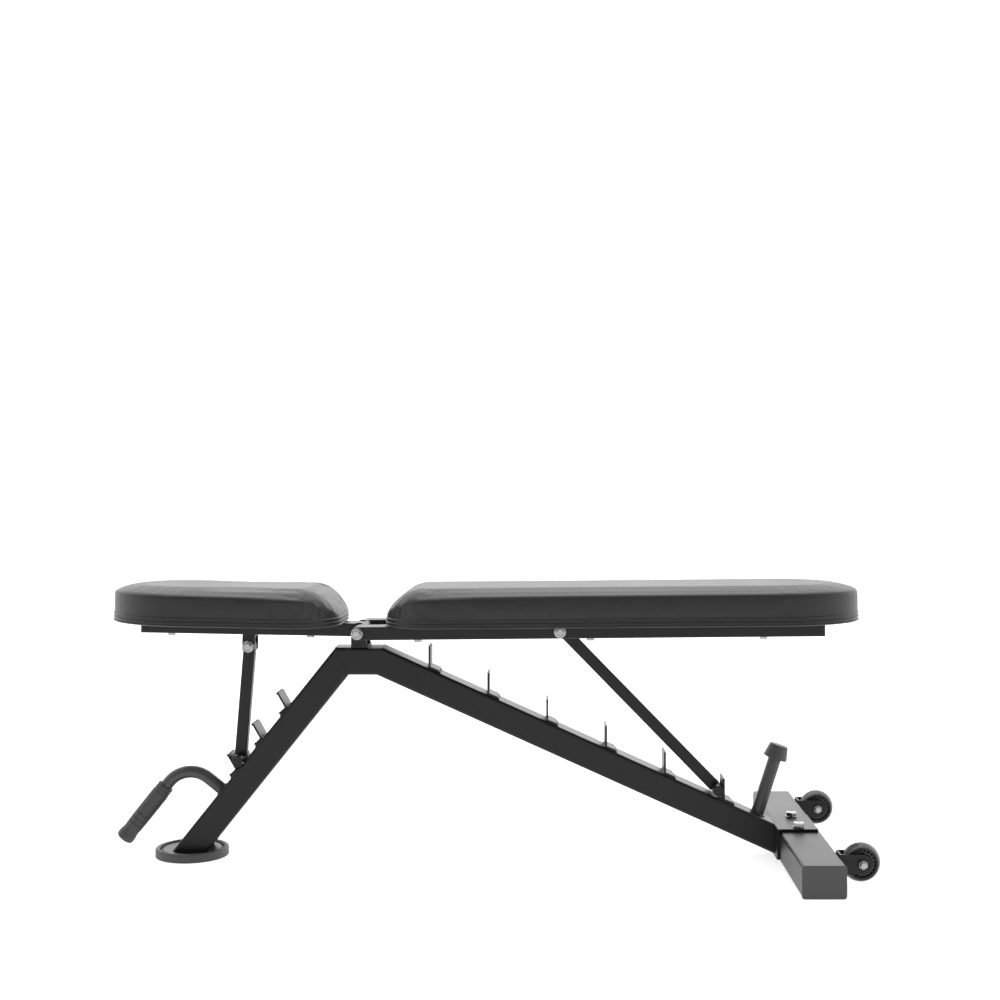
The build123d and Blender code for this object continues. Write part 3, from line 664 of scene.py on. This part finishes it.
def gather(piece, size):
    """Pleats round the two corners by the pivot, and faint pulls along the wall."""
    toward = 1 if size["inner"] > size["outer"] else -1
    centre_along = size["inner"] - toward * pad_corner
    for vertex in piece.data.vertices:
        x, y, z = vertex.co / mm
        rise = (z - size["low"] - gather_from) / gather_high
        if not 0.0 < rise < 1.0:
            continue
        side = 1 if y > 0 else -1
        out = Vector((toward * (x - centre_along), side * y - (pad_half - pad_corner)))
        if out.x < 0 or out.y < 0 or out.length < pad_corner - 12:
            wave = math.sin(x * 0.13) * math.sin(x * 0.047 + side) * pull_deep
            on_side = abs(y) > pad_half - 4
            push = Vector((0, side, 0)) * (wave if on_side else 0.0)
        else:
            turn = math.atan2(out.y, out.x)
            fold = math.sin(turn * pleats_per_radian + 0.8 * math.sin(turn * 7.0))
            outward = Vector((toward * out.x, side * out.y, 0)).normalized()
            push = outward * fold * pleat_deep * math.sin(turn * 2.0)
        vertex.co += push * math.sin(math.pi * rise) * mm
    return piece


pad_bodies = {"seat": "seat", "back": "backrest"}
pad_voxels = {"seat": 4.0, "back": 4.5}
swell_cap = 2.2
for name, body in pad_bodies.items():
    size = pad_sizes[name]
    cover = foam(name + "_cover", size)
    cover = gather(upholster(cover, size, pad_voxels[name], swell_cap), size)
    in_place(cover, size)
    settle(cover, body, "leatherette", [name + "_pad"], angle=60)

# %% [markdown]
# The hem is a doubled strip of the same leatherette, sewn in three rows, turned under the board and
# stapled. A remesh would erase such narrow ridges, so the hem is a piece of its own: one profile with
# three ridges, carried round the pad's plan.

# %% Hems
sewn_rows = (0.9, 6.9, 13.1)
row_section = ((-1.2, 0.3), (-0.7, 1.5), (0.0, 2.0), (0.7, 1.5), (1.2, 0.3))


def hem_profile(low):
    """(inset, height) points round the hem's section, with three raised rows."""
    section = [(16.0, low - 0.8), (0.6, low - 0.8)]
    for row in sewn_rows:
        for rise, proud in row_section:
            section.append((-proud, low + row + rise))
    section += [(0.6, low + 14.8), (2.6, low + 14.0), (2.6, low + 0.4), (16.0, low + 0.1)]
    return section


for name, body in pad_bodies.items():
    size = pad_sizes[name]
    section = hem_profile(size["low"])
    rings = [[(x, y, height) for x, y in pad_outline(size, inset)] for inset, height in section]
    hem = in_place(rings_to_mesh(name + "_hem", rings, False), size)
    settle(hem, body, "leatherette", angle=50)

# %% [markdown]
# ## Wheels
#
# The tyre is thin cast polyurethane with a rounded tread and a small step where the mould parts. The
# hub is nylon: three rings on a web, with ten ribs between the inner two and twenty between the outer
# two, which make the rings of small pockets. Both are turned, so the lathe tool makes them, and one
# wheel is modelled for each side.

# %% Tyres and hubs
tyre_profile = [(24.1, -10.9), (25.2, -11.8), (26.4, -11.9), (27.6, -10.2), (28.8, -8.2), (30.0, -5.4),
                (31.1, -2.0), (31.4, -0.35), (31.1, 0.0), (31.4, 0.35), (31.1, 2.0), (30.0, 5.4), (28.8, 8.2),
                (27.6, 10.2), (26.4, 11.9), (25.2, 11.8), (24.1, 10.9), (24.1, -10.9)]
outer_half = [(11.1, 11.0), (12.6, 11.0), (13.0, 10.4), (13.2, 4.5), (16.6, 4.5), (16.8, 9.6), (17.3, 10.2),
              (18.6, 10.2), (19.1, 9.6), (19.3, 4.5), (22.4, 4.5), (22.6, 10.4), (23.0, 11.0), (23.6, 11.0),
              (24.0, 10.6)]
hub_profile = outer_half + [(radius, -height) for radius, height in outer_half[::-1]] + outer_half[:1]


rib_thick = 1.3
rib_deep = 5.6
rib_middle = 6.9
rib_edge = 0.3


def hub_ribs(count, radius, long):
    """A ring of ribs between two of the hub's rings, copied round the axle."""
    ribs = []
    for turn in range(count):
        for side in (-1, 1):
            deselect()
            bpy.ops.mesh.primitive_cube_add(size=1.0)
            rib = bpy.context.object
            rib.scale = (long * mm, rib_thick * mm, rib_deep * mm)
            bpy.ops.object.transform_apply(scale=True)
            bpy.ops.object.mode_set(mode="EDIT")
            bpy.ops.mesh.select_all(action="SELECT")
            bpy.ops.mesh.bevel(offset=rib_edge * mm, segments=2)
            bpy.ops.object.mode_set(mode="OBJECT")
            angle = 2 * math.pi * turn / count
            spot = Vector((radius * math.cos(angle), radius * math.sin(angle), side * rib_middle))
            rib.location = spot * mm
            rib.rotation_euler = (0, 0, angle)
            bpy.ops.object.transform_apply(location=True, rotation=True)
            ribs.append(rib)
    return ribs


for side in ("left", "right"):
    axle = hinge[side + "_wheel_spin"]
    tyre = lay(turned(side + "_tyre", tyre_profile, 96, closed=True), axle, (0, 1, 0))
    settle(tyre, side + "_wheel", "wheel_urethane", [side + "_wheel_tyre"], angle=40)
    ribs = hub_ribs(10, 14.9, 4.0) + hub_ribs(20, 20.9, 3.6)
    hub = joined(side + "_hub", [turned(side + "_hub", hub_profile, 96, closed=True)] + ribs)
    settle(lay(hub, axle, (0, 1, 0)), side + "_wheel", "hub_nylon", [side + "_wheel_hub"])

# %% [markdown]
# ## Welds
#
# A weld bead is laid as overlapping puddles, so it looks like a row of small scales. Turned on the
# lathe, one bead is a thin rod whose radius rises and falls with each puddle. Half of it sinks into
# the steel, and the half that shows has the ripple. The powder coat covers it with the rest.

# %% Beads along the catches
def bead_profile(long, radius):
    """The rise and fall of a bead's puddles, one about every 2.2 mm."""
    puddles = max(3, round(long / 2.2))
    pitch = long / puddles
    profile = [(0.4 * radius, 0.0)]
    for puddle in range(puddles):
        base = pitch * puddle
        profile += [(0.86 * radius, base + 0.15 * pitch), (radius, base + 0.55 * pitch),
                    (0.95 * radius, base + 0.9 * pitch)]
    return profile + [(0.4 * radius, long)]


def bead(name, start, end, radius):
    """A rippled weld bead between two places in metres."""
    long = (end - start).length / mm
    return lay(turned(name, bead_profile(long, radius), 12), start, end - start)


def cross_bead(name, x, z, half, radius):
    """A weld bead that runs straight across the bench."""
    return bead(name, Vector((x, -half, z)), Vector((x, half, z)), radius)


catch_half = 24.0 * mm
catch_bead = 2.1
beads = []
for group in groups("back_catches", 0, 0.03):
    low = min(group, key=lambda point: (round(point.x, 4), point.z))
    toe = max(group, key=lambda point: (round(point.x, 4), -point.z))
    for spot in (low, toe):
        beads.append(cross_bead("bead", spot.x, spot.z, catch_half, catch_bead))
for group in groups("seat_catches", 2, 0.004):
    foot = min(group, key=lambda point: point.z)
    beads.append(cross_bead("bead", foot.x, foot.z, catch_half, catch_bead))
settle(joined("catch_welds", beads), "frame", "powder_coat", angle=50)

# %% [markdown]
# Round tubes are welded all the way round. A straight bead is bent into a ring by reading its length
# as an angle. The box tube's two mitres over the apex are welded and partly ground, so their beads
# are low and lie along the joint on both sides and across the top.

# %% Ring welds and mitre welds
def ring_bead(name, place, direction, ring_radius, radius):
    """A weld bead bent into a ring round a tube."""
    ring = turned(name, bead_profile(2 * math.pi * ring_radius, radius), 12)
    for vertex in ring.data.vertices:
        turn = vertex.co.z / (ring_radius * mm)
        out = ring_radius * mm + vertex.co.x
        vertex.co = (out * math.cos(turn), out * math.sin(turn), vertex.co.y)
    return lay(ring, place, direction)


leg_lean = math.radians(51.34)
back_lean = math.radians(24.2)
handle_foot = Vector((-455.9, 0, 113.3)) * mm
post_foot = Vector((466.5, 0, 71.0)) * mm
off_front_leg = (-math.sin(leg_lean), 0, math.cos(leg_lean))
off_back_leg = (math.sin(back_lean), 0, math.cos(back_lean))
welds = [ring_bead("ring", handle_foot, off_front_leg, 11.2, 1.7),
         ring_bead("ring", post_foot, off_back_leg, 12.2, 1.8)]
apex_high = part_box("apex_tube")[1]
mitres = ((-257.5 * mm, leg_lean / 2), (-176.7 * mm, -back_lean / 2))
tube_deep = 46.5 * mm
corner_gap = 3.0 * mm
seam_half = 26.0 * mm
seam = 0.7
for top_x, half_turn in mitres:
    inner_x = top_x + tube_deep * math.tan(half_turn)
    for side in (-1, 1):
        aside = side * apex_high.y
        corner = Vector((top_x, aside, apex_high.z - corner_gap))
        inner = Vector((inner_x, aside, apex_high.z - tube_deep + corner_gap))
        welds.append(bead("seam", corner, inner, seam))
    welds.append(cross_bead("seam", top_x, apex_high.z, seam_half, seam))
settle(joined("tube_welds", welds), "frame", "powder_coat", angle=50)

# %% [markdown]
# ## Locknuts
#
# Each bolt ends in a locknut: a hexagon with its corners turned off, and a thin collar rolled over a
# nylon ring that grips the thread. The section is turned first, and then every point that is too far
# out is drawn in to the flats. On the turned-off corners the height follows the same cone, and that
# draws the six small arcs which catch the light on a real nut.

# %% Locknuts
def hexed(piece, across, chamfer_from, heights):
    """Draws a turned piece in to a hexagon, with arcs where the cone meets the flats."""
    low, high = heights
    for vertex in piece.data.vertices:
        spot = vertex.co / mm
        radius = math.hypot(spot.x, spot.y)
        if radius < chamfer_from + 0.05:
            continue
        turn = (math.atan2(spot.y, spot.x) + math.pi / 6) % (math.pi / 3) - math.pi / 6
        flat = min(radius, across / 2 / math.cos(turn))
        arc = max(0.0, flat - chamfer_from) * math.tan(math.radians(30))
        height = low + arc if spot.z < (low + high) / 2 else high - arc
        vertex.co = Vector((spot.x * flat / radius, spot.y * flat / radius, height)) * mm
    return piece


def locknut(name, face, direction, across, high, bolt_radius):
    """A locknut that stands on a face, without its nylon ring."""
    corner = across / 2 / math.cos(math.pi / 6)
    chamfer_from = across / 2 - 0.15
    body = 0.66 * high
    collar = 0.43 * across
    profile = [(bolt_radius + 0.1, 0.0), (chamfer_from, 0.0), (corner, 0.5), (corner, body - 0.5),
               (chamfer_from, body), (collar, body), (collar, high - 1.4), (collar - 0.4, high - 0.5),
               (collar - 1.3, high), (collar - 1.9, high - 0.4), (collar - 1.9, high - 1.8),
               (bolt_radius + 0.1, high - 1.8), (bolt_radius + 0.1, 0.0)]
    nut = hexed(turned(name, profile, 72, closed=True), across, chamfer_from, (0.0, body))
    return lay(nut, face, direction)


def washer(name, face, direction, radius, hole, thick):
    """A flat washer with the rounded rim that punching leaves."""
    profile = [(hole, 0.2), (hole + 0.2, 0.0), (radius - 0.1, 0.0), (radius, 0.3), (radius, thick - 0.4),
               (radius - 0.5, thick), (hole + 0.4, thick), (hole, thick - 0.3), (hole, 0.2)]
    return lay(turned(name, profile, 64, closed=True), face, direction)


def nylon(name, face, direction, outer, hole, thick):
    """The nylon ring of a locknut."""
    profile = [(hole, 0.0), (outer, 0.0), (outer, thick - 0.3), (outer - 0.3, thick),
               (hole + 0.3, thick), (hole, thick - 0.3), (hole, 0.0)]
    return lay(turned(name, profile, 48, closed=True), face, direction)


near = Vector((0, -1, 0))
ring_deep = 1.8
ring_thick = 0.9


def bolt_end(node, body, across, high, bolt_radius, washers):
    """Replaces a CAD nut, and the washers that share its node, by modelled ones."""
    low_box, high_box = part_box(node)
    x, z = (low_box.x + high_box.x) / 2, (low_box.z + high_box.z) / 2
    face = Vector((x, low_box.y + high * mm, z))
    parts = [locknut(node + "_made", face, near, across, high, bolt_radius)]
    for edge in washers and (low_box.y + (high + 0.05) * mm, high_box.y - 2.0 * mm):
        parts.append(washer("washer", Vector((x, edge, z)), (0, 1, 0), 10.0, 5.05, 2.0))
    settle(joined(node + "_made", parts), body, "zinc_plate", [node], angle=30)
    seat_of_ring = face + near * (high - ring_deep) * mm
    ring_radius = 0.43 * across - 2.0
    ring = nylon(node + "_ring", seat_of_ring, near, ring_radius, bolt_radius + 0.1, ring_thick)
    settle(ring, body, "bush_nylon", angle=30)


m10_across = 17.0
m10_high = 10.0
m10_radius = 5.0
bolt_end("pivot_nut", "frame", m10_across, m10_high, m10_radius, ())
bolt_end("seat_strut_nut_and_washers", "seat", m10_across, m10_high, m10_radius, True)
bolt_end("back_strut_nut_and_washers", "backrest", m10_across, m10_high, m10_radius, True)

# %% [markdown]
# The two bolts of the stabiliser show their heads: a hexagon with turned-off corners and a shallow dish
# on top, over a washer. The tool that shapes the nuts shapes the heads as well, so their lower corners
# are turned off too, against the washer, where it hardly shows. The wheels have smaller locknuts.

# %% Stabiliser bolts and wheel nuts
def hex_bolt(name, under, across, head_high, radius, shank, washer_thick):
    """A hexagon bolt pointing down from a washer, whose lower face is at a place in metres."""
    corner = across / 2 / math.cos(math.pi / 6)
    chamfer_from = across / 2 - 0.15
    base = washer_thick
    top = base + head_high
    profile = [(radius, -shank), (radius, base), (chamfer_from, base), (corner, base + 0.2),
               (corner, top - 0.5), (chamfer_from, top), (chamfer_from - 1.6, top - 0.1),
               (chamfer_from - 2.4, top - 0.7), (1.0, top - 0.8)]
    head = hexed(turned(name, profile, 72), across, chamfer_from, (base, top))
    plate = washer("washer", under, (0, 0, 1), 10.0, radius + 0.1, washer_thick)
    return [lay(head, under, (0, 0, 1)), plate]


def box_of(group):
    """The lowest and highest corners of a group of points."""
    return [Vector([pick(point[axis] for point in group) for axis in range(3)]) for pick in (min, max)]


head_high = 6.5
washer_thick = 2.0
bolts = []
for group in groups("stabiliser_bolts", 1, 0.02):
    low, high = box_of(group)
    under = Vector(((low.x + high.x) / 2, (low.y + high.y) / 2, high.z - (head_high + washer_thick) * mm))
    shank = (under.z - low.z) / mm
    bolts += hex_bolt("bolt", under, m10_across, head_high, m10_radius, shank, washer_thick)
stabiliser_bolts = joined("stabiliser_bolts_made", bolts)
settle(stabiliser_bolts, "frame", "zinc_plate", ["stabiliser_bolts"], angle=30)

wheel_nuts = []
for group in groups("wheel_nuts", 1, 0.05):
    low, high = box_of(group)
    face = Vector(((low.x + high.x) / 2, high.y, (low.z + high.z) / 2))
    wheel_nuts.append(locknut("wheel_nut", face, near, 13.0, 7.5, 4.0))
settle(joined("wheel_nuts_made", wheel_nuts), "frame", "zinc_plate", ["wheel_nuts"], angle=30)

# %% [markdown]
# ## Grip
#
# The grip is pushed over the end of the handle. Two ribs stop the hand at the top, three fine lines
# run round its lower half, and below a slight neck it flares to a rounded end. The handle's end is
# parallel to the front leg, and the grip's axis and ends are found from the CAD grip's own mesh.

# %% Grip
down = Vector((-math.cos(leg_lean), 0, -math.sin(leg_lean)))
across_grip = Vector((math.sin(leg_lean), 0, -math.cos(leg_lean)))
grip_points = mesh_points("handle_grip")
reach = [point.dot(down) for point in grip_points]
beside = [point.dot(across_grip) for point in grip_points]
grip_top = down * min(reach) + across_grip * (min(beside) + max(beside)) / 2
grip_long = (max(reach) - min(reach)) / mm
top_ribs = [(11.0, 0.0), (12.4, 0.1), (13.6, 0.8), (14.2, 2.2), (14.2, 4.6), (13.5, 5.2), (13.5, 7.4),
            (14.3, 8.0), (14.4, 10.8), (13.6, 11.4), (13.6, 13.6), (14.5, 14.4), (14.9, 19.0)]
flared_end = [(14.2, 90.0), (13.8, 96.0), (14.3, 101.0), (15.1, 105.0), (15.5, 109.0),
              (15.4, grip_long - 4.0), (14.6, grip_long - 1.6), (13.0, grip_long - 0.4),
              (10.0, grip_long), (5.0, grip_long)]
line_places = (62.0, 72.0, 82.0)
line_deep = 0.8
grip_profile = top_ribs + [(14.8, 34.0)]
for line in line_places:
    radius = 14.8 - 0.01 * (line - line_places[0])
    groove = radius - line_deep
    grip_profile += [(radius, line - 0.9), (groove, line - 0.5), (groove, line + 0.5), (radius, line + 0.9)]
grip_profile += flared_end
grip = lay(turned("grip", grip_profile, 72), grip_top, down)
settle(grip, "frame", "grip_rubber", ["handle_grip"], angle=30)

# %% [markdown]
# ## Studio
#
# The bench stands in a bright white cove. The light comes from all round but least from the camera's
# side, and that is why its near faces are dark while every face seen at a glancing angle is pale. The
# world is white for the camera. For the object it is brightest beyond the bench and fades towards the
# camera's side. The floor glows a little, so that no shadow greys it.

# %% Floor and light
def studio_world():
    """White surroundings that fade towards the camera's side."""
    world = bpy.data.worlds.new("white_cove")
    world.use_nodes = True
    start = Shade(world.node_tree)
    direction = start.node("TexCoord", output=0)
    split = start.node("SeparateXYZ", {"Vector": direction}, output=1)
    share = start.node("MapRange", {"Value": split, "From Min": -0.9, "From Max": 1.0,
                                    "To Min": 0.26, "To Max": 2.5})
    seen = start.node("LightPath", output=0)
    strength = start.maths("MAXIMUM", share, seen * 1.02)
    background = world.node_tree.nodes["Background"]
    background.inputs["Color"].default_value = (1, 1, 1, 1)
    world.node_tree.links.new(strength.socket, background.inputs["Strength"])
    return world


def area_light(name, place, target, size, watts):
    """A square soft box that faces a target."""
    data = bpy.data.lights.new(name, "AREA")
    data.size = size
    data.energy = watts
    light = bpy.data.objects.new(name, data)
    light.location = place
    light.rotation_euler = (Vector(target) - Vector(place)).to_track_quat("-Z", "Y").to_euler()
    bpy.context.scene.collection.objects.link(light)
    return light


bpy.context.scene.world = studio_world()
bpy.context.scene.view_settings.view_transform = "Standard"
area_light("top_box", (0.0, 0.3, 2.6), (0.0, 0.0, 0.3), 2.6, 22.0)
bpy.ops.object.select_all(action="DESELECT")
bpy.ops.mesh.primitive_plane_add(size=30.0, location=(0, 0, floor_level))
floor = bpy.context.object
floor.name = "studio_floor"
floor_paint = bpy.data.materials.new("floor_paint")
floor_paint.use_nodes = True
floor_shader = floor_paint.node_tree.nodes["Principled BSDF"]
floor_shader.inputs["Base Color"].default_value = (0.60, 0.60, 0.60, 1)
floor_shader.inputs["Roughness"].default_value = 0.7
floor_shader.inputs["Emission Color"].default_value = (1, 1, 1, 1)
floor_shader.inputs["Emission Strength"].default_value = 0.72
floor.data.materials.append(floor_paint)
print("studio ready")
